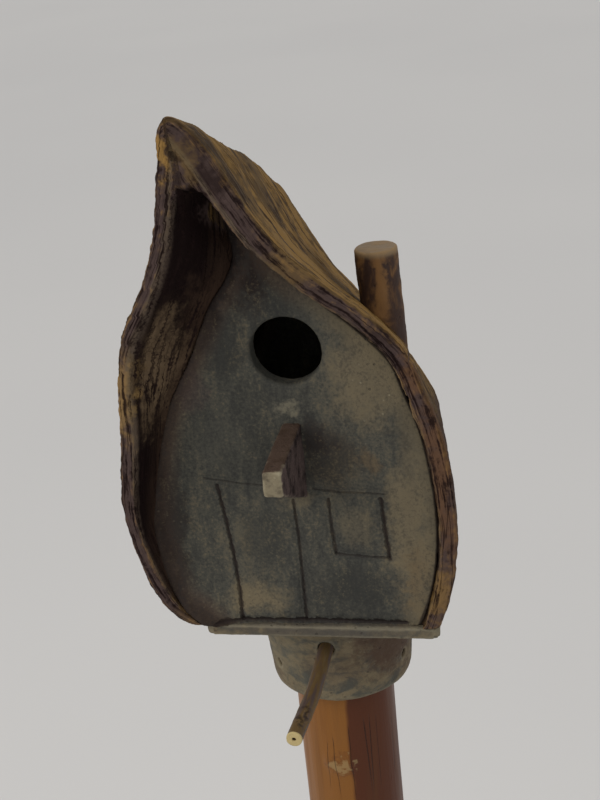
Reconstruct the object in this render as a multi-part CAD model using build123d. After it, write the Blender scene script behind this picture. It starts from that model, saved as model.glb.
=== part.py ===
from build123d import *
import math
import os

os.makedirs("parts", exist_ok=True)

# Overall sizes of the clay house (floor top to tip, and half of the widest place)
PEAK_HEIGHT = 250.0
HALF_WIDTH = 75.0
HOUSE_DEPTH = 100.0
PEAK_OVERHANG = 42.0
LEFT_THICKNESS = 9.5
RIGHT_THICKNESS = 8.5
RIM_EDGE = 1.8
JOINT_CLEARANCE = 0.3
RIDGE_CLEARANCE = 0.4
ARCH_HALF_WIDTH = 4.6
ARCH_DROP = 3.4

# Front and back walls, which fit inside the bent slabs
WALL_THICKNESS = 8.0
WALL_FACE = HOUSE_DEPTH / 2
BACK_RECESS = 4.0
ENTRANCE_DIAMETER = 32.0
ENTRANCE_X_SHARE = -0.02
ENTRANCE_HEIGHT_SHARE = 0.542
ENTRANCE_LIP = 1.2
GROOVE_WIDTH = 1.3
GROOVE_DEPTH = 1.1

# Floor slab
FLOOR_THICKNESS = 5.5
FLOOR_FRONT_LEFT = 53.0
FLOOR_FRONT_RIGHT = 57.5
FLOOR_LIP = 3.0
FLOOR_BACK_SHARE = 0.8
FLOOR_CORNER = 3.0

# Pole, collar and twig
POLE_HEIGHT = 850.0
POLE_DIAMETER = 49.5
POLE_FOOT_DIAMETER = 54.0
POLE_WANDER = 3.0
COLLAR_HEIGHT = 50.0
COLLAR_TOP_WALL = 14.05
COLLAR_FOOT_WALL = 9.55
COLLAR_EDGE = 5.0
SOCKET_CLEARANCE = 0.3
SCREW_HOLE_DIAMETER = 4.2
SCREW_HOLE_COUNT = 3
SCREW_HOLE_DROP = 34.0
SCREW_HOLE_TURN = 70.0
TWIG_DIAMETER = 7.2
TWIG_LENGTH = 72.0
TWIG_DROP = 17.0
TWIG_BEND_SHARE = 0.5
TWIG_BEND_RADIUS = 40.0
TWIG_BOW = 0.8
TWIG_LEAN = 1.2
TWIG_RISE = 1.6

# Chimney and bracket
CHIMNEY_DIAMETER = 19.5
CHIMNEY_X_SHARE = 0.448
CHIMNEY_BACK_SHARE = 0.44
CHIMNEY_TOP_SHARE = 0.668
CHIMNEY_LENGTH_SHARE = 0.3
CHIMNEY_LEAN = 2.0
CHIMNEY_EDGE = 1.0
BRACKET_WIDTH = 8.6
BRACKET_X_SHARE = -0.03
BRACKET_REACH = 45.0
BRACKET_TOP_SHARE = 0.408
BRACKET_ROOT = 36.5
BRACKET_TIP = 11.5
BRACKET_DROP = 2.0
BRACKET_EDGE = 1.2

# Places and sizes that follow from the ones above
FLOOR_TOP = POLE_HEIGHT + FLOOR_THICKNESS
COLLAR_TOP_RADIUS = POLE_DIAMETER / 2 + COLLAR_TOP_WALL
COLLAR_FOOT_RADIUS = POLE_DIAMETER / 2 + COLLAR_FOOT_WALL
FRONT_Y = -WALL_FACE - PEAK_OVERHANG - RIGHT_THICKNESS / 2
WALL_Y = -WALL_FACE
BACK_Y = HOUSE_DEPTH - WALL_FACE
PLANES_Y = [FRONT_Y, WALL_Y, BACK_Y]
LOFT_AHEAD_SHARES = [1.0, 0.9, 0.75, 0.5, 0.25, 0]
LOFT_BEHIND_SHARES = [0.08, 0.22, 0.42, 0.64, 0.82, 0.92, 1.0]
FLARE_FADE = 4
LOFT_Y = [WALL_Y + share * (FRONT_Y - WALL_Y) for share in LOFT_AHEAD_SHARES]
LOFT_Y = LOFT_Y + [WALL_Y + share * (BACK_Y - WALL_Y) for share in LOFT_BEHIND_SHARES]
REACH = 3 * HALF_WIDTH

# Outlines of the shell, floor to tip, as shares of the half width and of the peak height
LEFT_FRONT_SHARES = [
    (-0.8, 0), (-0.96, 0.05), (-1.045, 0.135), (-1.115, 0.255), (-1.097, 0.37), (-1.073, 0.44),
    (-1.128, 0.52), (-1.14, 0.63), (-0.952, 0.715), (-0.838, 0.77), (-0.715, 0.845), (-0.497, 0.98),
    (-0.41, 1.02),
]
LEFT_WALL_SHARES = [
    (-0.785, 0), (-0.923, 0.042), (-1.003, 0.122), (-1.028, 0.232), (-0.98, 0.32), (-0.91, 0.405),
    (-0.815, 0.478), (-0.68, 0.55), (-0.57, 0.62), (-0.47, 0.675), (-0.395, 0.735), (-0.34, 0.864),
    (-0.275, 0.915),
]
LEFT_BACK_SHARES = [
    (-0.575, 0), (-0.69, 0.04), (-0.76, 0.104), (-0.795, 0.192), (-0.775, 0.264), (-0.72, 0.336),
    (-0.64, 0.4), (-0.54, 0.468), (-0.47, 0.528), (-0.42, 0.58), (-0.372, 0.63), (-0.313, 0.695),
    (-0.26, 0.728),
]
RIGHT_FRONT_SHARES = [
    (0.845, 0), (0.905, 0.055), (0.97, 0.128), (0.993, 0.226), (0.985, 0.326), (0.93, 0.434),
    (0.84, 0.528), (0.755, 0.607), (0.545, 0.68), (0.31, 0.727), (0.095, 0.787), (-0.07, 0.867),
    (-0.315, 0.996), (-0.41, 1.02),
]
RIGHT_WALL_SHARES = [
    (0.765, 0), (0.83, 0.052), (0.88, 0.119), (0.905, 0.205), (0.89, 0.296), (0.84, 0.394),
    (0.755, 0.475), (0.673, 0.54), (0.487, 0.604), (0.283, 0.658), (0.09, 0.716), (-0.063, 0.79),
    (-0.205, 0.885), (-0.275, 0.915),
]
RIGHT_BACK_SHARES = [
    (0.6, 0), (0.647, 0.04), (0.68, 0.096), (0.693, 0.16), (0.68, 0.228), (0.64, 0.3),
    (0.56, 0.348), (0.485, 0.388), (0.37, 0.44), (0.22, 0.5), (0.073, 0.556), (-0.053, 0.616),
    (-0.19, 0.695), (-0.26, 0.728),
]
# Underside of the pinched ridge at the front, at the wall and at the back
APEX_SHARES = [(-0.375, 0.9), (-0.245, 0.815), (-0.205, 0.65)]
ARCH_WIDTH_SHARES = [1.0, 0.65, 0.6]
APEX_OPEN_SHARE = 1.2

# How thick each station of a slab is, below the ridge
LEFT_SWELL_SHARES = [0.84, 0.84, 0.85, 0.9, 0.97, 1.0, 1.0, 1.0, 1.0, 1.0, 1.0]
RIGHT_SWELL_SHARES = [1.0, 1.0, 1.0, 1.0, 1.0, 1.0, 1.0, 1.0, 1.0, 1.0, 1.08, 1.26]

# Front edge seen from the side: height share, share of the overhang at the peak
LEFT_RAKE_SHARES = [
    (-0.1, 0.02), (0, 0.1), (0.264, 0.43), (0.5, 0.6), (0.69, 0.69), (0.84, 0.79), (0.92, 0.88),
    (1.0, 1.0), (1.1, 1.17),
]
RIGHT_RAKE_SHARES = [
    (-0.1, 0.07), (0, 0.1), (0.21, 0.13), (0.4, 0.17), (0.555, 0.25), (0.65, 0.41), (0.75, 0.61),
    (0.84, 0.77), (0.92, 0.88), (1.0, 1.0), (1.1, 1.17),
]

# Lapped joints between roof and side slabs: outer edge, inner edge and outer edge at the back
LEFT_LAP_SHARES = [(-0.88, 0.6), (-0.785, 0.565), (-0.54, 0.468)]
RIGHT_LAP_SHARES = [(0.707, 0.552), (0.647, 0.416), (0.507, 0.392)]

# Scratched lines of the door and the window on the front wall, as line chains
GROOVE_SHARES = [
    [(-0.6, 0.3), (-0.347, 0.288), (-0.08, 0.282)],
    [(-0.525, 0.286), (-0.497, 0.216), (-0.475, 0.144), (-0.464, 0.068), (-0.47, 0.006)],
    [(-0.067, 0.256), (-0.057, 0.176), (-0.059, 0.092), (-0.061, 0.006)],
    [(0.06, 0.278), (0.221, 0.272), (0.489, 0.268)],
    [(0.145, 0.258), (0.151, 0.196), (0.163, 0.148)],
    [(0.463, 0.259), (0.472, 0.196), (0.487, 0.138)],
    [(0.163, 0.147), (0.32, 0.142), (0.487, 0.139)],
    [(-0.57, 0.004), (0.01, 0.005), (0.56, 0.003)],
]

# The two halves of the shell: direction, slab thickness, outlines, rake and lapped joint
LEFT_HALF = {
    "side": -1,
    "thickness": LEFT_THICKNESS,
    "tables": [LEFT_FRONT_SHARES, LEFT_WALL_SHARES, LEFT_BACK_SHARES],
    "swell": LEFT_SWELL_SHARES,
    "rake": LEFT_RAKE_SHARES,
    "lap": LEFT_LAP_SHARES,
}
RIGHT_HALF = {
    "side": 1,
    "thickness": RIGHT_THICKNESS,
    "tables": [RIGHT_FRONT_SHARES, RIGHT_WALL_SHARES, RIGHT_BACK_SHARES],
    "swell": RIGHT_SWELL_SHARES,
    "rake": RIGHT_RAKE_SHARES,
    "lap": RIGHT_LAP_SHARES,
}

# Natural shape of the pole: height share, side and front wander shares, radius share
POLE_SHARES = [
    (0, 0.6, -0.3, 1.0), (0.22, -0.5, 0.4, 0.72), (0.45, -1.0, 0.2, 0.38), (0.66, 0.5, -0.6, 0.3),
    (0.84, 0.3, -0.2, 0.06),
]


def house_point(share, y):
    """Point of the house at depth y from a pair of outline shares."""
    return Vector(share[0] * HALF_WIDTH, y, FLOOR_TOP + share[1] * PEAK_HEIGHT)


def run_shares(rows):
    """Shares of the length run along the chains of all planes taken together."""
    steps = [0] * (len(rows[0]) - 1)
    for points in rows:
        steps = [step + (b - a).length for step, a, b in zip(steps, points, points[1:])]
    return [sum(steps[:count]) / sum(steps) for count in range(len(rows[0]))]


def inward(points, side, depths, apex, arch):
    """Chain moved in by its depths, level at the floor and ending in a small arch under the ridge."""
    moved = [points[0] - Vector(side * depths[0], 0, 0)]
    for before, here, after, depth in zip(points, points[1:], points[2:], depths[1:]):
        along = (after - before).normalized()
        moved.append(here + Vector(-side * along.Z, 0, side * along.X) * depth)
    return moved + [apex + Vector(side * arch, 0, -ARCH_DROP), apex]


def chains(half, inner, clearance):
    """Outer chains of the three planes, or the inner ones moved on by a clearance."""
    rows = [[house_point(share, y) for share in table] for table, y in zip(half["tables"], PLANES_Y)]
    if inner:
        drop = Vector(0, 0, clearance * APEX_OPEN_SHARE)
        tops = [house_point(share, y) - drop for share, y in zip(APEX_SHARES, PLANES_Y)]
        depths = [half["thickness"] * share + clearance for share in half["swell"]]
        arches = [share * ARCH_HALF_WIDTH for share in ARCH_WIDTH_SHARES]
        rows = [inward(chain, half["side"], depths, top, arch) for chain, top, arch in zip(rows, tops, arches)]
    for chain in rows:
        chain[-1] = chain[-1] + Vector(half["side"] * RIDGE_CLEARANCE / 2, 0, 0)
    return rows


def chain_at(rows, y):
    """Chain of a band at depth y: flared in front of the wall, and soon straight behind it."""
    front, wall, back = PLANES_Y
    ahead = (y - wall) / (front - wall)
    behind = (y - wall) / (back - wall)
    turn = (back - wall) / (back - front)
    chain = []
    for a, b, c in zip(*rows):
        lean = (b - a) * ((back - wall) / (wall - front)) - (c - b)
        if y > wall:
            chain.append(b + (c - b) * behind + lean * (turn * behind * (1 - behind) ** FLARE_FADE))
        else:
            chain.append(b + (a - b) * ahead - lean * ((1 - turn) * behind * (1 - ahead)))
    return chain


def curves(half, inner, clearance, places):
    """Smooth edges of one half at the given depths, with run shares common to the whole face."""
    face = chains(half, inner, 0)
    runs = run_shares([chain_at(face, y) for y in LOFT_Y])
    rows = chains(half, inner, clearance)
    return [Edge.make_spline(chain_at(rows, y), parameters=runs) for y in places]


def rake_cutter(shares):
    """Everything in front of the raked front edge of one side."""
    edge_points = [
        (-WALL_FACE - share * PEAK_OVERHANG, FLOOR_TOP + height * PEAK_HEIGHT) for height, share in shares
    ]
    rake = Spline(*edge_points)
    outline = rake + Polyline(edge_points[-1], (-REACH, edge_points[-1][1]),
                              (-REACH, edge_points[0][1]), edge_points[0])
    return extrude(Plane.YZ.offset(-REACH) * make_face(outline), REACH * 2)


def slab_band(half):
    """One half of the shell from the floor to the ridge, raked at the front, with soft rims."""
    outer = curves(half, False, 0, LOFT_Y)
    inner = curves(half, True, 0, LOFT_Y)
    wires = []
    for out, into in zip(outer, inner):
        ridge = Edge.make_line(out @ 1, into @ 1)
        foot = Edge.make_line(into @ 0, out @ 0)
        wires.append(Wire([out, ridge, into, foot]))
    band = Solid.make_loft(wires) - rake_cutter(half["rake"])
    front_rim = band.faces().filter_by(GeomType.EXTRUSION)[0]
    back_rim = band.faces().sort_by(Axis.Y)[-1]
    outer_edges = [rim.edges().sort_by(SortBy.LENGTH)[-1] for rim in (front_rim, back_rim)]
    return fillet(outer_edges, RIM_EDGE)


def lap_plane(half):
    """Plane of the lapped joint between a side slab and a roof slab."""
    outer, inner, behind = [house_point(share, y) for share, y in zip(half["lap"], (WALL_Y, WALL_Y, BACK_Y))]
    normal = (inner - outer).cross(behind - outer) * half["side"]
    return Plane(origin=outer, x_dir=behind - outer, z_dir=normal)


def wall_plate(front_y):
    """Flat wall that fits inside the slabs, with its front face at front_y."""
    ends = (front_y, front_y + WALL_THICKNESS)
    left = curves(LEFT_HALF, True, JOINT_CLEARANCE, ends)
    right = curves(RIGHT_HALF, True, JOINT_CLEARANCE, ends)
    wires = []
    for left_edge, right_edge in zip(left, right):
        top = Edge.make_line(left_edge @ 1, right_edge @ 1)
        foot = Edge.make_line(right_edge @ 0, left_edge @ 0)
        wires.append(Wire([foot, left_edge, top, right_edge.reversed()]))
    return Solid.make_loft(wires, ruled=True)


def groove(start, end):
    """Scratched line between two points of the front wall."""
    along = end - start
    turn = -math.degrees(math.atan2(along.Z, along.X))
    cut = Box(along.length + GROOVE_WIDTH, GROOVE_DEPTH * 2, GROOVE_WIDTH)
    return Pos((start + end) / 2) * Rot(0, turn, 0) * cut


def front_wall():
    """Front wall with the round entrance and the scratched door and window."""
    wall = wall_plate(WALL_Y)
    middle = house_point((ENTRANCE_X_SHARE, ENTRANCE_HEIGHT_SHARE), WALL_Y)
    hole = Rot(90, 0, 0) * Cylinder(ENTRANCE_DIAMETER / 2, WALL_THICKNESS * 4)
    wall = wall - Pos(middle) * hole
    rim = wall.edges().filter_by(GeomType.CIRCLE).sort_by(Axis.Y)[0]
    wall = fillet(rim, ENTRANCE_LIP)
    for chain in GROOVE_SHARES:
        places = [house_point(share, WALL_Y) for share in chain]
        for start, end in zip(places, places[1:]):
            wall = wall - groove(start, end)
    return wall


def floor_slab():
    """Floor under the slabs, narrower at the back, with rounded corners."""
    front = WALL_Y - FLOOR_LIP
    corners = [
        (-FLOOR_FRONT_LEFT, front), (FLOOR_FRONT_RIGHT, front),
        (FLOOR_FRONT_RIGHT * FLOOR_BACK_SHARE, BACK_Y), (-FLOOR_FRONT_LEFT * FLOOR_BACK_SHARE, BACK_Y),
    ]
    slab = extrude(make_face(Polyline(*corners, close=True)), FLOOR_THICKNESS)
    slab = fillet(slab.edges().filter_by(Axis.Z), FLOOR_CORNER)
    return Pos(0, 0, POLE_HEIGHT) * slab


def pole():
    """Peeled pole, thicker and slightly crooked towards the foot, straight in the socket."""
    straight = POLE_HEIGHT - COLLAR_HEIGHT
    sections = []
    for height, side, front, radius in POLE_SHARES:
        size = (POLE_DIAMETER + (POLE_FOOT_DIAMETER - POLE_DIAMETER) * radius) / 2
        place = Pos(side * POLE_WANDER * radius, front * POLE_WANDER * radius, height * straight)
        sections.append(place * Circle(size))
    sections.append(Pos(0, 0, straight) * Circle(POLE_DIAMETER / 2))
    lower = loft(sections, ruled=True)
    upper = Cylinder(POLE_DIAMETER / 2, COLLAR_HEIGHT, align=(Align.CENTER, Align.CENTER, Align.MIN))
    return lower + Pos(0, 0, straight) * upper


def twig():
    """Round twig with a slight bend, seated in the collar and clear of the pole."""
    start = Vector(0, -POLE_DIAMETER / 2 - SOCKET_CLEARANCE * 4, POLE_HEIGHT - TWIG_DROP)
    face = Vector(0, -COLLAR_TOP_RADIUS, start.Z)
    bend = face + Vector(TWIG_BOW, -TWIG_LENGTH * TWIG_BEND_SHARE, TWIG_RISE * TWIG_BEND_SHARE)
    tip = face + Vector(-TWIG_LEAN, -TWIG_LENGTH, TWIG_RISE)
    line = FilletPolyline(start, bend, tip, radius=TWIG_BEND_RADIUS)
    return sweep(Plane(origin=start, z_dir=bend - start) * Circle(TWIG_DIAMETER / 2), line)


def collar():
    """Clay socket ring with a rounded foot, three screw holes and a hole for the twig."""
    bore = POLE_DIAMETER / 2 + SOCKET_CLEARANCE
    top = COLLAR_TOP_RADIUS
    outline = Polyline((bore, 0), (COLLAR_FOOT_RADIUS, 0), (top, COLLAR_HEIGHT), (bore, COLLAR_HEIGHT), close=True)
    ring = revolve(Plane.XZ * make_face(outline), Axis.Z)
    rim = ring.edges().filter_by(GeomType.CIRCLE).group_by(Axis.Z)[0].sort_by(SortBy.RADIUS)[-1]
    ring = Pos(0, 0, POLE_HEIGHT - COLLAR_HEIGHT) * fillet(rim, COLLAR_EDGE)
    hole = Pos(0, -top, 0) * Rot(90, 0, 0) * Cylinder(SCREW_HOLE_DIAMETER / 2, top)
    for count in range(SCREW_HOLE_COUNT):
        turn = SCREW_HOLE_TURN + count * 360 / SCREW_HOLE_COUNT
        ring = ring - Pos(0, 0, POLE_HEIGHT - SCREW_HOLE_DROP) * Rot(0, 0, turn) * hole
    peg = Pos(0, -top, 0) * Rot(90, 0, 0) * Cylinder(TWIG_DIAMETER / 2 + SOCKET_CLEARANCE, top)
    return ring - Pos(0, 0, POLE_HEIGHT - TWIG_DROP) * peg


def bracket():
    """Wedge under the entrance, deep at the wall and thin at its end."""
    root_top = FLOOR_TOP + BRACKET_TOP_SHARE * PEAK_HEIGHT
    tip_y = WALL_Y - BRACKET_REACH
    outline = Polyline(
        (WALL_Y, root_top), (tip_y, root_top - BRACKET_DROP), (tip_y, root_top - BRACKET_DROP - BRACKET_TIP),
        (WALL_Y, root_top - BRACKET_ROOT), close=True,
    )
    wedge = extrude(Plane.YZ * make_face(outline), BRACKET_WIDTH / 2, both=True)
    free = wedge.edges().filter_by(lambda edge: edge.center().Y < WALL_Y - BRACKET_EDGE)
    return Pos(BRACKET_X_SHARE * HALF_WIDTH, 0, 0) * fillet(free, BRACKET_EDGE)


def chimney(roof):
    """Rolled clay stack, cut to the slope of the roof that it stands on."""
    length = CHIMNEY_LENGTH_SHARE * PEAK_HEIGHT
    stack = Cylinder(CHIMNEY_DIAMETER / 2, length, align=(Align.CENTER, Align.CENTER, Align.MAX))
    stack = fillet(stack.edges().sort_by(Axis.Z)[-1], CHIMNEY_EDGE)
    top = house_point((CHIMNEY_X_SHARE, CHIMNEY_TOP_SHARE), WALL_Y + CHIMNEY_BACK_SHARE * HOUSE_DEPTH)
    stack = Pos(top) * Rot(0, -CHIMNEY_LEAN, 0) * stack
    rest = stack - roof
    return Pos(0, 0, JOINT_CLEARANCE) * rest.solids().sort_by(Axis.Z)[-1]


left_band = slab_band(LEFT_HALF)
right_band = slab_band(RIGHT_HALF)
left_lap = lap_plane(LEFT_HALF)
right_lap = lap_plane(RIGHT_HALF)

parts = {
    "pole": pole(),
    "collar": collar(),
    "twig": twig(),
    "floor_slab": floor_slab(),
    "front_wall": front_wall(),
    "back_wall": wall_plate(BACK_Y - BACK_RECESS - WALL_THICKNESS),
    "left_roof_slab": split(left_band, bisect_by=left_lap, keep=Keep.BOTTOM),
    "left_side_slab": split(left_band, bisect_by=left_lap, keep=Keep.TOP),
    "right_roof_slab": split(right_band, bisect_by=right_lap, keep=Keep.BOTTOM),
    "right_side_slab": split(right_band, bisect_by=right_lap, keep=Keep.TOP),
    "chimney": chimney(right_band),
    "bracket": bracket(),
}
for node, shape in parts.items():
    export_step(shape, f"parts/{node}.step")
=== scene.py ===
"""Dresses the stoneware birdhouse on its pole: hand-built clay, peeled wood and a plain studio stage."""

import math

import bpy
import numpy as np
from bpy.props import FloatProperty, FloatVectorProperty, IntProperty, PointerProperty
from mathutils import Matrix, Vector


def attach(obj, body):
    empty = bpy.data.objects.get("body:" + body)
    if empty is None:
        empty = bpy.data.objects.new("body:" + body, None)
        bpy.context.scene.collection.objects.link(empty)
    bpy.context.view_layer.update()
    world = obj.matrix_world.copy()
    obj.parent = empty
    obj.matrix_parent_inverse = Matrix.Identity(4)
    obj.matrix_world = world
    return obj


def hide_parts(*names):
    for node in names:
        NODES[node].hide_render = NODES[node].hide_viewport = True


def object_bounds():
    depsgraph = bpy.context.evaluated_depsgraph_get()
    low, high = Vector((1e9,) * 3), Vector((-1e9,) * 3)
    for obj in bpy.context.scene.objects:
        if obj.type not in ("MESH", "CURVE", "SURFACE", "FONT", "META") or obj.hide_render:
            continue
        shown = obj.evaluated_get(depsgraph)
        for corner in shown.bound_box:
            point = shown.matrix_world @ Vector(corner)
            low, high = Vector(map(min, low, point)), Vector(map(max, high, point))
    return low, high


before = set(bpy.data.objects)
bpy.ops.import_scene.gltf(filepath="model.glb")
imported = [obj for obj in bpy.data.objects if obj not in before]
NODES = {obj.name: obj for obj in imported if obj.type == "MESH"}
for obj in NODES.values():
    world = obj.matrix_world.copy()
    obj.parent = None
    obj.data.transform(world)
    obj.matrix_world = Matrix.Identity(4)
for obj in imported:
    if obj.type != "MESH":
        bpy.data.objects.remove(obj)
CAD_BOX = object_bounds()

bl_info = {
    "name": "Stoneware Birdhouse",
    "version": (1, 0, 0),
    "blender": (4, 5, 0),
    "location": "View3D > Sidebar > Birdhouse",
    "description": "Soft clay, wood and stage for the birdhouse on its pole",
    "category": "Object",
}

MM = 0.001
MERGE = 0.01 * MM
LEAST_WEIGHT = 0.01

# Measures of the solids, and of the screws, the bud scar and the pith
HALF_WIDTH = 75 * MM
PEAK_HEIGHT = 250 * MM
POLE_TOP = 850 * MM
FLOOR_TOP = 855.5 * MM
WALL_Y = -50 * MM
PLANES_Y = (-96.25 * MM, -50 * MM, 50 * MM)
ENTRANCE = Vector((-1.5 * MM, WALL_Y, 991 * MM))
ENTRANCE_RADIUS = 16 * MM
TIP = Vector((-30.5, -91, 1106)) * MM
SCREW_Z = POLE_TOP - 34 * MM
SCREW_TURNS = (70, 190, 310)
SCREW_OUT = 32.2 * MM
SCREW_RADIUS = 1.75 * MM
SCREW_HEIGHT = 2.2 * MM
SCREW_SLOT = (0.6 * MM, 5 * MM, 1.2 * MM)
SCREW_CREASE = math.radians(35)
TWIG_TIP = Vector((-1.2 * MM, -110.8 * MM, 834.6 * MM))
TWIG_AIM = Vector((-2.0, -36, 0.8)).normalized()
PITH_RADIUS = 1.0 * MM
PITH_DEPTH = 6 * MM
BUD_PLACE = (2.2 * MM, -96 * MM, 836.4 * MM)
BUD_RADIUS = 3.0 * MM
BUD_SHAPE = (0.75, 1.8, 0.8)

# Outlines of the two halves of the shell at the front, at the wall and at the back, as shares
LEFT_TABLES = (
    ((-0.8, 0), (-0.96, 0.05), (-1.045, 0.135), (-1.115, 0.255), (-1.097, 0.37), (-1.073, 0.44),
     (-1.128, 0.52), (-1.14, 0.63), (-0.952, 0.715), (-0.838, 0.77), (-0.715, 0.845), (-0.497, 0.98),
     (-0.41, 1.02)),
    ((-0.785, 0), (-0.923, 0.042), (-1.003, 0.122), (-1.028, 0.232), (-0.98, 0.32), (-0.91, 0.405),
     (-0.815, 0.478), (-0.68, 0.55), (-0.57, 0.62), (-0.47, 0.675), (-0.395, 0.735), (-0.34, 0.864),
     (-0.275, 0.915)),
    ((-0.575, 0), (-0.69, 0.04), (-0.76, 0.104), (-0.795, 0.192), (-0.775, 0.264), (-0.72, 0.336),
     (-0.64, 0.4), (-0.54, 0.468), (-0.47, 0.528), (-0.42, 0.58), (-0.372, 0.63), (-0.313, 0.695),
     (-0.26, 0.728)),
)
RIGHT_TABLES = (
    ((0.845, 0), (0.905, 0.055), (0.97, 0.128), (0.993, 0.226), (0.985, 0.326), (0.93, 0.434),
     (0.84, 0.528), (0.755, 0.607), (0.545, 0.68), (0.31, 0.727), (0.095, 0.787), (-0.07, 0.867),
     (-0.315, 0.996), (-0.41, 1.02)),
    ((0.765, 0), (0.83, 0.052), (0.88, 0.119), (0.905, 0.205), (0.89, 0.296), (0.84, 0.394),
     (0.755, 0.475), (0.673, 0.54), (0.487, 0.604), (0.283, 0.658), (0.09, 0.716), (-0.063, 0.79),
     (-0.205, 0.885), (-0.275, 0.915)),
    ((0.6, 0), (0.647, 0.04), (0.68, 0.096), (0.693, 0.16), (0.68, 0.228), (0.64, 0.3),
     (0.56, 0.348), (0.485, 0.388), (0.37, 0.44), (0.22, 0.5), (0.073, 0.556), (-0.053, 0.616),
     (-0.19, 0.695), (-0.26, 0.728)),
)
FLARE_FADE = 4
OUTLINE_STEPS = 10

# Front edges of the two halves seen from the side: height share and share of the overhang
LEFT_RAKE = (
    (-0.1, 0.02), (0, 0.1), (0.264, 0.43), (0.5, 0.6), (0.69, 0.69), (0.84, 0.79), (0.92, 0.88),
    (1.0, 1.0), (1.1, 1.17),
)
RIGHT_RAKE = (
    (-0.1, 0.07), (0, 0.1), (0.21, 0.13), (0.4, 0.17), (0.555, 0.25), (0.65, 0.41), (0.75, 0.61),
    (0.84, 0.77), (0.92, 0.88), (1.0, 1.0), (1.1, 1.17),
)
OVERHANG = 42 * MM

# Lapped joints between side and roof: outer edge, inner edge and outer edge at the back
LEFT_LAP = (
    Vector((-66, -50, 1005.5)) * MM,
    Vector((-58.9, -50, 996.75)) * MM,
    Vector((-40.5, 50, 972.5)) * MM,
)
RIGHT_LAP = (
    Vector((53, -50, 993.5)) * MM,
    Vector((48.5, -50, 959.5)) * MM,
    Vector((38, 50, 953.5)) * MM,
)
LAP_WIDTH = 0.9 * MM
LAP_DEPTH = 0.6 * MM

# Knots of the pole: x, y and z in millimetres, and their size
KNOTS = (
    (-1.4, -24.7, 758, 7), (22, 12, 640, 9), (-23, 9, 560, 8), (12, -23.5, 470, 10),
    (-14, 22, 380, 9), (-22, -14, 270, 10), (24, -10, 170, 9), (6, 26, 90, 11),
)
KNOT_SHAPE = (1.0, 1.3, 0.12)

# Slabs, their rims and the map of their streaks
SLAB_THICKNESS = 9 * MM
RIM_THINNING = 0.22
THIN_RUN = 16 * MM
RIM_WIDTH = 2 * MM
TEAR_WIDTH = 3 * MM
RIDGE_FADE = 16 * MM
MARK_UNIT = 10 * MM
STREAK_LENGTH = 36 * MM
STREAK_WIDTH = 2.6 * MM
SHELL_RUN = 300 * MM
DEPTH_RUN = 115 * MM
RIGHT_SHIFT = 60.0

# Rounding of the tip and filling of the ridge behind it
TIP_REACH = 15 * MM
TIP_ROUNDS = 16
TIP_SWELL = 1.3 * MM
TIP_BAND = 10 * MM
TIP_LOWERING = 0.3
RIDGE_STEPS = 30
RIDGE_REACH = 24 * MM
RIDGE_RUN = 26 * MM
RIDGE_RISE = 2.6 * MM

# Share of the small mesh on the bracket
BRACKET_SHARE = 0.7

# Rise over the nearby surface that counts as a full edge
SLAB_EDGE = 0.9 * MM
WALL_EDGE = 0.8 * MM
BASE_EDGE = 0.8 * MM
SMALL_EDGE = 0.7 * MM

# Patterns pressed into clay and wood
LUMP_SIZE = 17 * MM
SCRAPE_SIZE = 2.0
TEAR_SIZE = 5 * MM
SLAB_SAND = 3 * MM
WALL_SAND = 2.5 * MM
WALL_HOLLOWS = 16 * MM
BASE_HOLLOWS = 14 * MM
SMALL_HOLLOWS = 9 * MM
FLAT_SIZE = 16 * MM
FLAT_DEPTH = 1.1 * MM
FLAT_STRETCH = (1, 1, 9)
RIPPLE_SIZE = 4 * MM
RIPPLE_DEPTH = 0.2 * MM

# Scratched lines of the front wall as shares: points, width and depth in millimetres
SCRATCHES = (
    (((-0.6, 0.3), (-0.347, 0.288), (-0.08, 0.282)), 0.5, 0.45),
    (((-0.525, 0.286), (-0.497, 0.216), (-0.475, 0.144), (-0.464, 0.068), (-0.47, 0.006)), 0.95, 1.0),
    (((-0.067, 0.256), (-0.057, 0.176), (-0.059, 0.092), (-0.061, 0.006)), 0.7, 0.8),
    (((0.06, 0.278), (0.221, 0.272), (0.489, 0.268)), 0.5, 0.45),
    (((0.145, 0.258), (0.151, 0.196), (0.163, 0.148)), 0.75, 0.8),
    (((0.463, 0.259), (0.472, 0.196), (0.487, 0.138)), 0.95, 1.0),
    (((0.163, 0.147), (0.32, 0.142), (0.487, 0.139)), 0.6, 0.6),
    (((-0.6, 0.004), (0.01, 0.006), (0.56, 0.004)), 1.3, 1.3),
)
GROOVE_REACH = 2.2 * MM
SCRATCH_REACH = 1.9 * MM
SCRATCH_CUTS = 3
BURR_WIDTH = 0.35
BURR_HEIGHT = 0.16
FRONT_SKIN = 1.5 * MM
ENTRANCE_LIP = 3 * MM

# Bead of clay at the left border: top and fade in millimetres, widths in mark units, rise and push
BEAD_TOP = 1036
BEAD_FADE = 26
BEAD_WIDTH = 0.9
BEAD_ROOT = 0.25
BEAD_RISE = 4.5 * MM
BEAD_PUSH = 2 * MM

# Stage: lamps with their place, size, power and colour, and the camera
FLOOR_RADIUS = 40
SKY_HUE = (1.0, 0.99, 0.975, 1.0)
SKY_POWER = 0.8
LAMPS = (
    ("window_light", (-1.5, -1.3, 2.3), 1.5, 24.0, (1.0, 0.97, 0.92)),
    ("fill_light", (1.6, -1.4, 1.4), 1.6, 3.0, (0.95, 0.97, 1.0)),
)
LAMP_AIM = Vector((0, 0, 0.95))
CAMERA_TURN, CAMERA_RISE, CAMERA_ROLL = (math.radians(angle) for angle in (12.946, 22.851, -5.79))
CAMERA_AIM = Vector((-8.773, 0, 946.685)) * MM
CAMERA_AWAY = 0.7063
CAMERA_LENS = 67.5
CAMERA_SENSOR = 36
CAMERA_CLIP = 10 * MM


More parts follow.
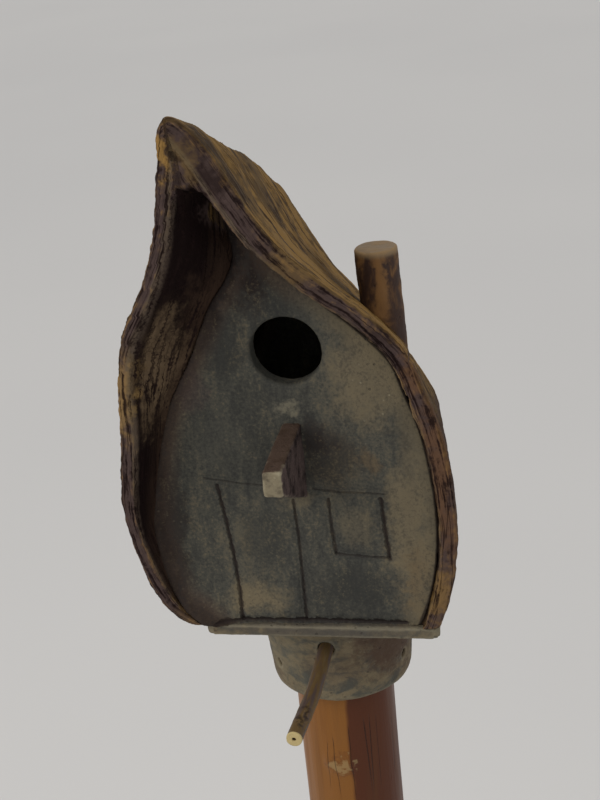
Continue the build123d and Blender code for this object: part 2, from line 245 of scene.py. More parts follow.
def tint(red, green, blue):
    """Colour from screen values of 0 to 255, as Blender's linear colour."""
    shares = [value / 255 for value in (red, green, blue)]
    linear = [s / 12.92 if s <= 0.04045 else ((s + 0.055) / 1.055) ** 2.4 for s in shares]
    return (*linear, 1.0)


FLOOR_CAST = tint(170, 170, 174)


def colour(name, description, red, green, blue):
    """Colour property with its default in screen values."""
    return FloatVectorProperty(
        name=name, description=description, subtype="COLOR", size=4, min=0, max=1,
        default=tint(red, green, blue),
    )


def length(name, description, size):
    """Length property with its default in millimetres."""
    return FloatProperty(name=name, description=description, default=size * MM, unit="LENGTH", min=0)


class BirdhouseSizes(bpy.types.PropertyGroup):
    """Sizes of the surface of each material."""

    slab_mesh: length("Slab mesh", "Face size on the shell slabs", 1.0)
    wall_mesh: length("Wall mesh", "Face size on the front wall", 0.9)
    small_mesh: length("Small mesh", "Face size on the chimney and the bracket", 0.7)
    plain_mesh: length("Plain mesh", "Face size on the floor, the collar and the back wall", 1.0)
    pole_mesh: length("Pole mesh", "Face size on the pole", 1.7)
    twig_mesh: length("Twig mesh", "Face size on the twig", 0.35)
    slab_lumps: length("Slab lumps", "Depth of the hand-pressed hollows in the slabs", 1.6)
    slab_streaks: length("Slab streaks", "Depth of the streaks scraped along the slabs", 1.1)
    slab_tears: length("Slab tears", "Depth of the torn places along the rims", 1.5)
    joint_growth: length("Joint growth", "Growth that closes the joints of the shell", 0.35)
    wall_growth: length("Wall growth", "Growth that seats the walls in the shell", 0.6)
    wall_lumps: length("Wall lumps", "Depth of the shallow hollows in the walls", 0.7)
    fine_grain: length("Fine grain", "Depth of the sandy grain of the clay", 0.25)
    softening: IntProperty(
        name="Softening", description="Rounds of smoothing on clay edges", default=2, min=0, max=30
    )


class BirdhouseColours(bpy.types.PropertyGroup):
    """Colours of the clays and woods."""

    umber_dark: colour("Dark umber", "Darkest clay of the shell", 30, 20, 19)
    umber: colour("Umber", "Purple-brown clay of the shell", 74, 61, 58)
    sienna: colour("Sienna", "Red-brown clay of the right side", 92, 68, 51)
    ochre: colour("Ochre", "Yellow streaks of the shell", 130, 102, 60)
    tan: colour("Tan", "Light brown streaks of the shell", 98, 79, 53)
    worn: colour("Worn edge", "Pale wear on clay edges", 150, 116, 66)
    # Painted shade: the dark red-brown clay of the inner faces darkened further to stand in for the
    # shade under the shell, also laid on the wall's shaded corners
    painted_shade: colour("Shade", "Dark red-brown of the inner faces", 17, 9, 9)
    slate: colour("Slate", "Dark grey of the wall", 43, 43, 41)
    grey: colour("Grey", "Grey-green of the wall", 71, 70, 63)
    beige: colour("Beige", "Pale patches of the wall", 108, 97, 76)
    rust: colour("Rust", "Brown stain at the wall's left border", 70, 54, 43)
    chalk: colour("Chalk", "Pale smears and specks", 146, 138, 116)
    honey: colour("Honey", "Light side of the pole", 122, 79, 34)
    red_brown: colour("Red-brown", "Dark side of the pole", 76, 40, 22)
    bark: colour("Bark", "Bark of the twig", 92, 72, 42)
    cut_wood: colour("Cut wood", "Cut end of the twig", 176, 158, 112)
    stack_tan: colour("Stack tan", "Light clay of the chimney", 118, 86, 52)
    stack_dark: colour("Stack dark", "Dark clay of the chimney", 54, 38, 32)
    steel: colour("Steel", "Rusty steel of the screws", 58, 54, 52)
    floor: colour("Floor", "Floor of the stage", 205, 204, 203)


# Modelling helpers


def pick(piece):
    """Makes one object the only selected and active one."""
    bpy.ops.object.select_all(action="DESELECT")
    piece.select_set(True)
    bpy.context.view_layer.objects.active = piece


def shape(piece, kind, **settings):
    """Adds a modifier to a piece and applies it."""
    pick(piece)
    made = piece.modifiers.new(kind.lower(), kind)
    for key, value in settings.items():
        setattr(made, key, value)
    bpy.ops.object.modifier_apply(modifier=made.name)


def new_object(name, data):
    """New object in the scene."""
    made = bpy.data.objects.new(name, data)
    bpy.context.scene.collection.objects.link(made)
    return made


def turned_to(direction, axis="Z"):
    """Turn that points an axis of an object in a direction."""
    return direction.to_track_quat(axis, "Y").to_euler()


def copy_of(node, name):
    """Copy of a solid as a new piece, with its loose triangles merged."""
    piece = new_object(name, NODES[node].data.copy())
    piece.data.materials.clear()
    pick(piece)
    bpy.ops.object.mode_set(mode="EDIT")
    bpy.ops.mesh.select_all(action="SELECT")
    bpy.ops.mesh.remove_doubles(threshold=MERGE)
    bpy.ops.object.mode_set(mode="OBJECT")
    return piece


def soften(piece, face_size, rounds):
    """Even skin of small faces over a piece, with its edges softened."""
    shape(piece, "REMESH", mode="VOXEL", voxel_size=face_size)
    shape(piece, "SMOOTH", factor=0.5, iterations=rounds)


def grow(piece, size, **where):
    """Moves the surface of a piece out, or in below nought."""
    shape(piece, "DISPLACE", strength=size, mid_level=0.0, **where)


def carve(piece, cutter):
    """Cuts one object out of a piece."""
    shape(piece, "BOOLEAN", object=cutter, operation="DIFFERENCE", solver="EXACT")
    bpy.data.objects.remove(cutter)


def press(piece, pattern, depth, size, steps=2, level=0.45, texture_coords="LOCAL", **where):
    """Presses a cloudy pattern into a piece, all inwards at level 0 and half outwards at 0.5."""
    cloud = bpy.data.textures.new(pattern, "CLOUDS")
    cloud.noise_scale = size
    cloud.noise_depth = steps
    where.update(texture=cloud, strength=-depth, mid_level=level, texture_coords=texture_coords)
    shape(piece, "DISPLACE", **where)


def weigh(piece, name, weights):
    """Vertex group with a weight for each vertex."""
    group = piece.vertex_groups.new(name=name)
    for index in np.nonzero(weights > LEAST_WEIGHT)[0]:
        group.add([int(index)], float(weights[index]), "REPLACE")


def round_tip(piece):
    """Rounds and thickens the pinched tip of the roof, and fills its ridge out behind it."""
    away = np.linalg.norm(points_of(piece) - np.array(TIP), axis=1)
    weigh(piece, "tip", np.clip(1.2 - away / TIP_REACH, 0, 1))
    shape(piece, "SMOOTH", factor=0.5, iterations=TIP_ROUNDS, vertex_group="tip")
    grow(piece, TIP_SWELL, vertex_group="tip")
    points = points_of(piece)
    side, height = ridge_at(points[:, 1])
    near = np.clip(1 - np.hypot(points[:, 0] - side, points[:, 2] - height) / RIDGE_REACH, 0, 1)
    points[:, 2] += near * np.exp(-((points[:, 1] / RIDGE_RUN) ** 2)) * RIDGE_RISE
    points[:, 2] -= TIP_LOWERING * np.clip(points[:, 2] - TIP.z + TIP_BAND, 0, None)
    move(piece, points)


def lap_normal(lap):
    """Direction across a lapped joint, from the roof to the side."""
    outer, inner, behind = lap
    normal = (inner - outer).cross(behind - outer).normalized()
    return normal if normal.x * outer.x > 0 else -normal


def crease(piece, lap):
    """Presses the thin line of a lapped joint into the slabs."""
    points = points_of(piece)
    off = np.abs((points - np.array(lap[0])) @ np.array(lap_normal(lap)))
    weigh(piece, "lap", np.clip(1.2 - off / LAP_WIDTH, 0, 1) * (points[:, 0] * lap[0].x > 0))
    grow(piece, -LAP_DEPTH, vertex_group="lap")


def cut_off(piece, name, lap):
    """Cuts the slab beyond a lapped joint off a piece and returns it as a piece of its own."""
    rest = new_object(name, piece.data.copy())
    for half, side in ((piece, -1), (rest, 1)):
        pick(half)
        bpy.ops.object.mode_set(mode="EDIT")
        bpy.ops.mesh.select_all(action="SELECT")
        bpy.ops.mesh.bisect(
            plane_co=lap[0], plane_no=lap_normal(lap) * side, use_fill=True, clear_inner=True
        )
        bpy.ops.mesh.mark_sharp()
        bpy.ops.object.mode_set(mode="OBJECT")
    return rest


def keep_inside(piece):
    """Keeps a piece inside the box of the solids."""
    low, high = (np.array(corner) for corner in CAD_BOX)
    move(piece, np.clip(points_of(piece), low, high))


def join_into(piece, extras):
    """Joins extra lumps into a piece."""
    pick(piece)
    for extra in extras:
        extra.select_set(True)
    bpy.ops.object.join()


def set_in(piece):
    """Puts the place of a piece into its mesh and smooths its shading."""
    pick(piece)
    bpy.ops.object.transform_apply(location=True, rotation=True, scale=True)
    bpy.ops.object.shade_smooth()


def finish(piece, finish_material, slot=None, *nodes):
    """Gives a piece its finish, its body and the solids that it stands for."""
    set_in(piece)
    keep_inside(piece)
    piece.data.materials.clear()
    piece.data.materials.append(finish_material)
    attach(piece, "root")
    if nodes:
        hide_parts(*nodes)


# Marks that the finishes read, and relief


def points_of(piece):
    """Vertices of a piece as rows of x, y and z."""
    rows = np.empty(len(piece.data.vertices) * 3)
    piece.data.vertices.foreach_get("co", rows)
    return rows.reshape(-1, 3)


def move(piece, points):
    """Moves the vertices of a piece to new places."""
    piece.data.vertices.foreach_set("co", points.ravel())
    piece.data.update()


def outline_at(tables, y):
    """Smooth outline of one half of the shell at depth y, as rows of x and z."""
    front, wall, back = PLANES_Y
    a, b, c = (np.array(table) for table in tables)
    ahead = (y - wall) / (front - wall)
    behind = (y - wall) / (back - wall)
    turn = (back - wall) / (back - front)
    lean = (b - a) * ((back - wall) / (wall - front)) - (c - b)
    if y > wall:
        knots = b + (c - b) * behind + lean * (turn * behind * (1 - behind) ** FLARE_FADE)
    else:
        knots = b + (a - b) * ahead - lean * ((1 - turn) * behind * (1 - ahead))
    knots = knots * (HALF_WIDTH, PEAK_HEIGHT) + (0, FLOOR_TOP)
    ends = np.vstack([2 * knots[0] - knots[1], knots, 2 * knots[-1] - knots[-2]])
    t = np.linspace(0, 1, OUTLINE_STEPS, endpoint=False)[:, None]
    runs = []
    for a, b, c, d in zip(ends, ends[1:], ends[2:], ends[3:]):
        square, cube = 2 * a - 5 * b + 4 * c - d, 3 * b - a - 3 * c + d
        runs.append(0.5 * (2 * b + (c - a) * t + square * t**2 + cube * t**3))
    return np.vstack([*runs, knots[-1:]])


def ridge_at(depths):
    """Side and height of the ridge at each depth."""
    steps = np.linspace(PLANES_Y[0], PLANES_Y[-1], RIDGE_STEPS)
    ridge = np.array([outline_at(LEFT_TABLES, y)[-1] for y in steps])
    return [np.interp(depths, steps, ridge[:, axis]) for axis in (0, 1)]


def along_shell(points, tables):
    """Run along the shell's outline and way in from its outer face, for each point."""
    run = np.zeros(len(points))
    inset = np.zeros((len(points), 2))
    steps = np.round(points[:, 1] / MM).astype(int)
    for step in np.unique(steps):
        here = np.nonzero(steps == step)[0]
        line = outline_at(tables, step * MM)
        lengths = np.concatenate([[0], np.cumsum(np.linalg.norm(np.diff(line, axis=0), axis=1))])
        flat = points[here][:, (0, 2)]
        gaps = np.linalg.norm(flat[:, None] - line[None], axis=2)
        near = gaps.argmin(axis=1)
        tangent = np.gradient(line, axis=0)
        tangent /= np.linalg.norm(tangent, axis=1)[:, None]
        offset = flat - line[near]
        ahead = (offset * tangent[near]).sum(axis=1)
        run[here] = (lengths[near] + ahead) / lengths[-1] * SHELL_RUN
        inset[here] = offset - ahead[:, None] * tangent[near]
    return run, inset


def mark(piece, name, values):
    """Stores a value for each vertex of a piece."""
    layer = piece.data.attributes.new(name, "FLOAT", "POINT")
    layer.data.foreach_set("value", np.asarray(values, dtype=np.float32))


def rake_at(heights, shares):
    """Depth of a front edge at each height."""
    rows = np.array(shares)
    return WALL_Y - OVERHANG * np.interp((heights - FLOOR_TOP) / PEAK_HEIGHT, rows[:, 0], rows[:, 1])


def lay_grain(piece):
    """Map of the streaks along the slabs, with marks for rim, thickness and way in."""
    points = points_of(piece)
    right = points[:, 0] > ridge_at(points[:, 1])[0]
    runs, insets = zip(*(along_shell(points, tables) for tables in (RIGHT_TABLES, LEFT_TABLES)))
    run, inset = np.where(right, *runs), np.where(right[:, None], *insets)
    below = np.linalg.norm(inset, axis=1)
    rake = np.where(right, rake_at(points[:, 2], RIGHT_RAKE), rake_at(points[:, 2], LEFT_RAKE))
    inwards = np.clip((points[:, 1] - rake) / (PLANES_Y[-1] - rake), 0, 1) * DEPTH_RUN
    thin = RIM_THINNING * np.clip(1 - inwards / THIN_RUN, 0, 1) * ~right
    points[:, (0, 2)] -= thin[:, None] * inset
    move(piece, points)
    across = (inwards + below) / STREAK_WIDTH + RIGHT_SHIFT * right
    flat = np.stack([run / STREAK_LENGTH, across], axis=1)
    corner = np.empty(len(piece.data.loops), dtype=np.int32)
    piece.data.loops.foreach_get("vertex_index", corner)
    layer = piece.data.uv_layers.new(name="grain")
    layer.uv.foreach_set("vector", flat[corner].astype(np.float32).ravel())
    mark(piece, "below", below / SLAB_THICKNESS)
    rim = np.clip(1.3 - inwards / RIM_WIDTH, 0, 1)
    mark(piece, "rim", rim)
    mark(piece, "inwards", inwards / MARK_UNIT)
    inner = np.clip(below / SLAB_THICKNESS * 4 - 3, 0, 1) * (1 - rim)
    weigh(piece, "slopes", np.clip((SHELL_RUN - run) / RIDGE_FADE, 0, 1) * (1 - 0.75 * inner))
    weigh(piece, "rims", np.clip(1.6 - inwards / TEAR_WIDTH, 0, 1))


def line_distance(points, places):
    """Distance of each point from a chain of points on the front wall."""
    flat = points[:, (0, 2)]
    near = np.full(len(flat), 1.0)
    chain = [np.array((x * HALF_WIDTH, FLOOR_TOP + z * PEAK_HEIGHT)) for x, z in places]
    for start, end in zip(chain, chain[1:]):
        along = end - start
        share = np.clip(((flat - start) @ along) / (along @ along), 0, 1)
        near = np.minimum(near, np.linalg.norm(flat - start - share[:, None] * along, axis=1))
    return near


def open_front(points):
    """Places on the flat front of the front wall, clear of its entrance."""
    hole = np.hypot(points[:, 0] - ENTRANCE.x, points[:, 2] - ENTRANCE.z)
    return (points[:, 1] < WALL_Y + FRONT_SKIN) & (hole > ENTRANCE_RADIUS + ENTRANCE_LIP)


def scratch_lines(piece):
    """Fills the square grooves of the front wall and scratches fine ones with burrs instead."""
    points = points_of(piece)
    near = np.min([line_distance(points, row[0]) for row in SCRATCHES], axis=0)
    points[open_front(points) & (near < GROOVE_REACH), 1] = WALL_Y
    move(piece, points)
    corners = np.array([polygon.center for polygon in piece.data.polygons])
    close = np.min([line_distance(corners, row[0]) for row in SCRATCHES], axis=0)
    piece.data.polygons.foreach_set("select", open_front(corners) & (close < SCRATCH_REACH))
    pick(piece)
    bpy.ops.object.mode_set(mode="EDIT")
    bpy.ops.mesh.select_mode(type="FACE")
    bpy.ops.mesh.subdivide(number_cuts=SCRATCH_CUTS)
    bpy.ops.object.mode_set(mode="OBJECT")
    points = points_of(piece)
    front = open_front(points)
    scratch = np.zeros(len(points))
    for count, (places, width, depth) in enumerate(SCRATCHES):
        near = line_distance(points, places) / MM
        wave = points[:, 0] / MM * 0.7 + points[:, 2] / MM * 0.9 + count
        wobble = 1 + 0.25 * np.sin(wave) + 0.15 * np.sin(wave * 2.7)
        cut = np.clip(1 - near / (width * 1.1 * wobble), 0, 1) ** 0.5
        crumble = 0.5 + 0.5 * np.sin(points[:, 2] / MM * 0.5 + count * 2)
        burr = np.exp(-(((near - width) / BURR_WIDTH) ** 2)) * crumble
        points[:, 1] += front * (cut * depth - burr * BURR_HEIGHT) * MM
        scratch = np.maximum(scratch, cut * front * min(1, depth))
    move(piece, points)
    mark(piece, "scratch", scratch)


def lay_bead(piece, border, left):
    """Smears a soft bead of clay along the left border of the front wall."""
    points = points_of(piece)
    wave = points[:, 2] / MM
    width = BEAD_WIDTH + 0.14 * np.sin(wave * 0.09) + 0.08 * np.sin(wave * 0.23 + 1)
    low = np.clip((BEAD_TOP - wave) / BEAD_FADE, 0, 1)
    rise = np.clip(1 - np.clip(border, 0, None) / width, 0, 1) ** 1.6 * left * low
    front = points[:, 1] < WALL_Y + FRONT_SKIN
    points[:, 1] -= front * rise * BEAD_RISE
    points[:, 0] -= np.clip(1 - border / BEAD_ROOT, 0, 1) * left * low * BEAD_PUSH
    move(piece, points)


def mark_edges(piece, rounds, scale):
    """Marks how far each place stands out from the surface around it."""
    points = points_of(piece)
    pairs = np.empty(len(piece.data.edges) * 2, dtype=np.int32)
    piece.data.edges.foreach_get("vertices", pairs)
    first, second = pairs.reshape(-1, 2).T
    count = np.bincount(pairs, minlength=len(points))[:, None]
    smooth = points.copy()
    for _ in range(rounds):
        total = np.stack([
            np.bincount(first, smooth[second, axis], len(points))
            + np.bincount(second, smooth[first, axis], len(points))
            for axis in range(3)
        ], axis=1)
        smooth = total / count
    normals = np.empty(len(points) * 3)
    piece.data.vertices.foreach_get("normal", normals)
    out = ((points - smooth) * normals.reshape(-1, 3)).sum(axis=1)
    mark(piece, "edge", np.clip(out / scale, -1, 1))


def weather(piece, hollow_size, level, scale):
    """Presses hollows and sandy grain into a clay piece and marks its edges."""
    sizes = bpy.context.scene.birdhouse_sizes
    press(piece, "shallow hollows", sizes.wall_lumps, hollow_size, level=level)
    press(piece, "sandy grain", sizes.fine_grain, WALL_SAND, level=level)
    mark_edges(piece, rounds=8, scale=scale)


def model_clay(node, clay, slot, face_size, hollow_size, scale):
    """Softens, weathers and finishes one small clay piece."""
    piece = copy_of(node, f"clay_{node}")
    soften(piece, face_size, rounds=3)
    weather(piece, hollow_size, level=0.45, scale=scale)
    finish(piece, clay, slot, node)


# Node helpers


class Sheet:
    """Node tree with short ways to add and link its nodes."""

    def __init__(self, tree):
        self.tree = tree

    def fill(self, socket, value):
        """Sets or links one socket."""
        if isinstance(value, bpy.types.NodeSocket):
            self.tree.links.new(value, socket)
        else:
            socket.default_value = value

    def put(self, kind, settings=None, **inputs):
        """Adds a node, sets its options and sets or links its inputs."""
        made = self.tree.nodes.new(kind)
        for key, value in (settings or {}).items():
            setattr(made, key, value)
        for key, value in inputs.items():
            self.fill(made.inputs[key.replace("_", " ")], value)
        return made

    def use(self, name, **inputs):
        """Places a node group."""
        made = self.put("ShaderNodeGroup", {"node_tree": bpy.data.node_groups[name]}, **inputs)
        return made.outputs

    def in_order(self, made, values):
        """Fills the inputs of a node in their order."""
        for socket, value in zip(made.inputs, values):
            self.fill(socket, value)
        return made.outputs

    def calc(self, operation, *values):
        """Math node."""
        return self.in_order(self.put("ShaderNodeMath", {"operation": operation}), values)[0]

    def times(self, first, *others):
        """Product of values."""
        for other in others:
            first = self.calc("MULTIPLY", first, other)
        return first

    def plus(self, first, *others):
        """Sum of values."""
        for other in others:
            first = self.calc("ADD", first, other)
        return first

    def minus(self, first, second):
        """Difference of two values."""
        return self.calc("SUBTRACT", first, second)

    def swing(self, value, reach):
        """Noise value turned into a swing about nought."""
        return self.times(self.minus(value, 0.5), reach)

    def aim(self, operation, *values):
        """Vector math node."""
        outputs = self.in_order(self.put("ShaderNodeVectorMath", {"operation": operation}), values)
        return outputs["Value" if operation == "LENGTH" else "Vector"]

    def axes(self, vector):
        """X, Y and Z of a vector."""
        return self.put("ShaderNodeSeparateXYZ", Vector=vector).outputs

    def facing(self):
        """X, Y and Z of the way that the surface faces."""
        return self.axes(self.put("ShaderNodeNewGeometry").outputs["Normal"])

    def ease(self, value, low, high, start=0.0, end=1.0):
        """Smooth step from one value to another."""
        made = self.put("ShaderNodeMapRange", {"interpolation_type": "SMOOTHSTEP"})
        return self.in_order(made, (value, low, high, start, end))["Result"]

    def mix(self, kind, first, share, base, over):
        """Mix node, with the place of its first input of a kind."""
        made = self.put("ShaderNodeMix", {"data_type": kind})
        for index, given in ((0, share), (first, base), (first + 1, over)):
            self.fill(made.inputs[index], given)
        return made.outputs

    def blend(self, share, base, over):
        """Mix of two colours."""
        return self.mix("RGBA", 6, share, base, over)[2]

    def between(self, share, low, high):
        """Mix of two values."""
        return self.mix("FLOAT", 2, share, low, high)[0]

    def cloudy(self, vector, scale, detail=3.0, roughness=0.55, distortion=0.0):
        """Noise value at a place."""
        made = self.put(
            "ShaderNodeTexNoise", Vector=vector, Scale=scale, Detail=detail, Roughness=roughness,
            Distortion=distortion,
        )
        return made.outputs["Fac"]

    def stretch(self, vector, scale, location=(0, 0, 0)):
        """Vector scaled along its axes."""
        made = self.put("ShaderNodeMapping", Vector=vector, Scale=scale, Location=location)
        return made.outputs["Vector"]

    def read(self, name):
        """Value that is stored on the piece."""
        return self.put("ShaderNodeAttribute", {"attribute_name": name}).outputs["Fac"]


class Effect(Sheet):
    """Node group with named inputs and outputs."""

    def __init__(self, name, inputs, outputs):
        super().__init__(bpy.data.node_groups.new(name, "ShaderNodeTree"))
        for key in inputs:
            self.tree.interface.new_socket(key, in_out="INPUT", socket_type="NodeSocketVector")
        for key in outputs:
            self.tree.interface.new_socket(key, in_out="OUTPUT", socket_type="NodeSocketFloat")
        self.given = self.tree.nodes.new("NodeGroupInput").outputs
        self.out = self.tree.nodes.new("NodeGroupOutput").inputs

    def close(self, **results):
        """Links the results to the outputs."""
        for key, value in results.items():
            self.fill(self.out[key], value)


class Finish(Sheet):
    """Material with its principled shader, the place on the piece and the colours."""

    def __init__(self, name, shine=0.22):
        self.made = bpy.data.materials.new(name)
        self.made.use_nodes = True
        super().__init__(self.made.node_tree)
        self.skin = self.tree.nodes["Principled BSDF"].inputs
        self.skin["Specular IOR Level"].default_value = shine
        self.place = self.put("ShaderNodeTexCoord").outputs["Object"]
        self.paint = bpy.context.scene.birdhouse_colours
        self.body = None

    def slip(self, centre, reach):
        """Mask of one soft-edged patch, with its measures in millimetres."""
        sizes = {"Centre": [c * MM for c in centre], "Reach": [r * MM for r in reach]}
        return self.use("Slip patch", Vector=self.place, **sizes)["Mask"]

    def wash(self, mask, over, strength=1.0):
        """Lays a colour over the body where a mask says."""
        if strength < 1:
            mask = self.times(mask, strength)
        self.body = self.blend(mask, self.body, over)

    def tone(self, value, low, high, over, strength=1.0):
        """Lays a colour over the body where a value passes from low to high."""
        self.wash(self.ease(value, low, high, 0.0, strength), over)

    def patches(self, rows):
        """Lays patches of slip over the body: centre, reach, colour and strength."""
        for centre, reach, over, strength in rows:
            self.wash(self.slip(centre, reach), over, strength)

    def close(self, roughness, height, depth):
        """Links the body's colour, roughness and fine relief to the shader."""
        relief = self.put("ShaderNodeBump", Height=height, Distance=depth).outputs["Normal"]
        for key, value in (("Base Color", self.body), ("Roughness", roughness), ("Normal", relief)):
            self.fill(self.skin[key], value)
        return self.made


def slab_grain_group():
    """Streaks, broad bands and cracks that run along a slab."""
    n = Effect("Slab grain", ["Vector"], ["Streak", "Band", "Crack", "Height"])
    lie = n.given["Vector"]
    broad = n.cloudy(lie, 1.0, 6.0, 0.65, 0.4)
    fine = n.cloudy(n.stretch(lie, (1.1, 2.7, 1), (3.7, 0.4, 0)), 1.0, 4.0, 0.6, 0.5)
    crust = n.cloudy(n.stretch(lie, (5.5, 0.42, 1), (1.9, 5.3, 0)), 1.0, 6.0, 0.7, 0.3)
    streak = n.plus(n.times(broad, 0.48), n.times(fine, 0.27), n.times(crust, 0.25))
    band = n.cloudy(n.stretch(lie, (0.45, 0.22, 1)), 1.0, 4.0, 0.6, 0.6)
    split = n.cloudy(n.stretch(lie, (0.55, 0.9, 1), (7.3, 2.1, 0)), 1.0, 2.0, 0.5, 0.3)
    line = n.ease(n.calc("ABSOLUTE", n.minus(split, 0.5)), 0.0, 0.03, 1.0, 0.0)
    crack = n.times(line, n.ease(band, 0.4, 0.56))
    height = n.minus(streak, n.times(crack, 0.6))
    n.close(Streak=streak, Band=band, Crack=crack, Height=height)


def grog_group():
    """Pale specks, pits and sandy grain of a coarse clay."""
    n = Effect("Grog", ["Vector"], ["Speck", "Pit", "Height"])
    place = n.given["Vector"]
    cells = n.put("ShaderNodeTexVoronoi", Vector=place, Scale=330.0, Randomness=1.0)
    gate = n.cloudy(place, 75.0, 2.0)
    dot = n.ease(cells.outputs["Distance"], 0.1, 0.26, 1.0, 0.0)
    tone = n.put("ShaderNodeSeparateColor", Color=cells.outputs["Color"]).outputs[0]
    pale = n.times(dot, n.ease(tone, 0.62, 0.72))
    dark = n.times(dot, n.ease(tone, 0.3, 0.2))
    speck = n.times(pale, n.ease(gate, 0.42, 0.62))
    sand = n.cloudy(place, 1100.0, 3.0, 0.6)
    bumps = n.plus(n.times(sand, 0.5), n.times(speck, 0.5))
    height = n.minus(bumps, n.times(dark, 0.8))
    n.close(Speck=speck, Pit=dark, Height=height)


def patch_group():
    """Soft-edged patch of slip about a centre."""
    n = Effect("Slip patch", ["Vector", "Centre", "Reach"], ["Mask"])
    place = n.given["Vector"]
    noise = n.put("ShaderNodeTexNoise", Vector=place, Scale=70.0, Detail=4.0, Roughness=0.65)
    wander = noise.outputs["Color"]
    shift = n.aim("SCALE", n.aim("SUBTRACT", wander, (0.5, 0.5, 0.5)))
    shift.node.inputs["Scale"].default_value = 0.03
    moved = n.aim("SUBTRACT", n.aim("ADD", place, shift), n.given["Centre"])
    far = n.aim("LENGTH", n.aim("DIVIDE", moved, n.given["Reach"]))
    grit = n.swing(n.cloudy(place, 360.0, 5.0, 0.7), 0.9)
    n.close(Mask=n.ease(n.plus(far, grit), 0.35, 1.1, 1.0, 0.0))


# Finishes


def shell_clay():
    """Purple-brown clay with ochre streaks along the slope of the slabs, dark rims, worn edges, painted
    shade on the inner faces and a painted highlight along their arris.
    """
    n = Finish("shell_clay", 0.03)
    paint, place = n.paint, n.place
    lie = n.put("ShaderNodeUVMap", {"uv_map": "grain"}).outputs["UV"]
    up = n.facing()["Z"]
    edge = n.read("edge")
    rim = n.read("rim")
    below = n.read("below")
    inner = n.times(n.ease(below, 0.82, 0.96), n.minus(1.0, rim))
    narrow = n.use("Slab grain", Vector=lie)
    wide = n.use("Slab grain", Vector=n.stretch(lie, (0.55, 0.36, 1), (2.3, 1.7, 0)))
    above = n.ease(up, 0.05, 0.45)
    keys = ("Streak", "Band", "Crack", "Height")
    grain = {key: n.between(above, narrow[key], wide[key]) for key in keys}
    grog = n.use("Grog", Vector=place)
    # Colour of the inner faces: the clay's own dark red-brown darkened into painted shade under the
    # shell
    n.body = paint.painted_shade
    n.tone(grain["Band"], 0.48, 0.66, paint.rust, 0.3)
    n.patches([
        ((-54, -67, 992), (18, 26, 42), n.blend(0.5, paint.beige, paint.sienna), 0.95),
        ((-36, -60, 1022), (7, 12, 18), paint.rust, 0.4),
    ])
    n.tone(grain["Streak"], 0.56, 0.4, paint.painted_shade, 0.5)
    # Painted shadow in a strip of the inner faces just behind the front rims
    n.tone(n.read("inwards"), 0.5, 0.3, paint.painted_shade, 0.8)
    axes = n.axes(place)
    seat = n.times(n.ease(axes["Y"], -64 * MM, -52 * MM), n.ease(axes["X"], 10 * MM, -10 * MM))
    n.wash(seat, paint.rust, 0.5)
    inside = n.body
    n.body = paint.umber_dark
    n.tone(grain["Streak"], 0.36, 0.54, paint.umber)
    n.wash(above, n.blend(0.6, paint.umber_dark, paint.tan))
    top = n.ease(up, 0.1, 0.7, 0.0, 0.24)
    held = n.plus(n.times(rim, 0.34), n.times(inner, 0.6))
    gold = n.minus(n.plus(grain["Band"], top, n.times(grain["Streak"], 0.45)), held)
    n.tone(gold, 0.72, 0.8, paint.tan, 0.8)
    n.tone(gold, 0.8, 0.92, paint.ochre, 0.85)
    # Puts that colour, with its painted shade, on the inner faces
    n.wash(inner, inside, 0.95)
    n.patches([
        ((-34, -90, 1090), (5, 12, 20), paint.ochre, 0.95),
        ((-26, -87, 1085), (5, 12, 10), paint.tan, 0.75),
        ((-69, -75, 982), (5, 10, 26), n.blend(0.4, paint.worn, paint.beige), 0.75),
        ((-63, -76, 990), (4, 8, 20), paint.tan, 0.5),
        ((-56, -56, 862), (14, 12, 10), paint.tan, 0.45),
        ((-16, -85, 1078), (8, 10, 11), paint.umber_dark, 0.7),
        ((42, -63, 1003), (9, 10, 10), paint.umber_dark, 0.35),
        ((8, -73, 1034), (18, 10, 16), paint.tan, 0.75),
        ((13, -5, 1012), (22, 34, 18), paint.umber_dark, 0.55),
        ((0, -4, 1026), (12, 20, 12), paint.umber_dark, 0.3),
        ((-14, -44, 1073), (7, 34, 10), paint.umber_dark, 0.4),
        ((-20, -86, 1090), (5, 12, 9), paint.umber_dark, 0.4),
        ((63, -56, 936), (9, 10, 52), paint.sienna, 0.85),
        ((60, -55, 874), (9, 10, 22), paint.ochre, 0.6),
        ((55, -58, 982), (8, 12, 12), paint.sienna, 0.95),
    ])
    deep = n.blend(n.times(above, 0.1), paint.umber_dark, paint.ochre)
    n.tone(grain["Streak"], 0.49, 0.43, deep, 0.9)
    n.patches([
        ((-34, -91, 1092), (5, 12, 16), paint.worn, 0.6),
        ((-24, -88, 1086), (5, 10, 9), paint.tan, 0.5),
    ])
    wear = n.times(n.ease(edge, 0.2, 0.7), n.ease(grain["Streak"], 0.46, 0.6))
    n.wash(wear, paint.worn, 0.5)
    # Painted highlight along the inner arris of the rims
    arris = n.times(
        rim, n.ease(below, 0.82, 0.96), n.ease(below, 1.2, 1.08), n.ease(grain["Streak"], 0.4, 0.54)
    )
    n.wash(arris, paint.beige, 0.35)
    hollow = n.calc("MAXIMUM", grain["Crack"], n.ease(edge, -0.1, -0.5))
    n.wash(hollow, paint.umber_dark, 0.7)
    height = n.plus(grain["Height"], n.times(grog["Height"], 0.25))
    rough = n.ease(grain["Streak"], 0.35, 0.65, 0.6, 0.86)
    return n.close(rough, height, 0.9 * MM)


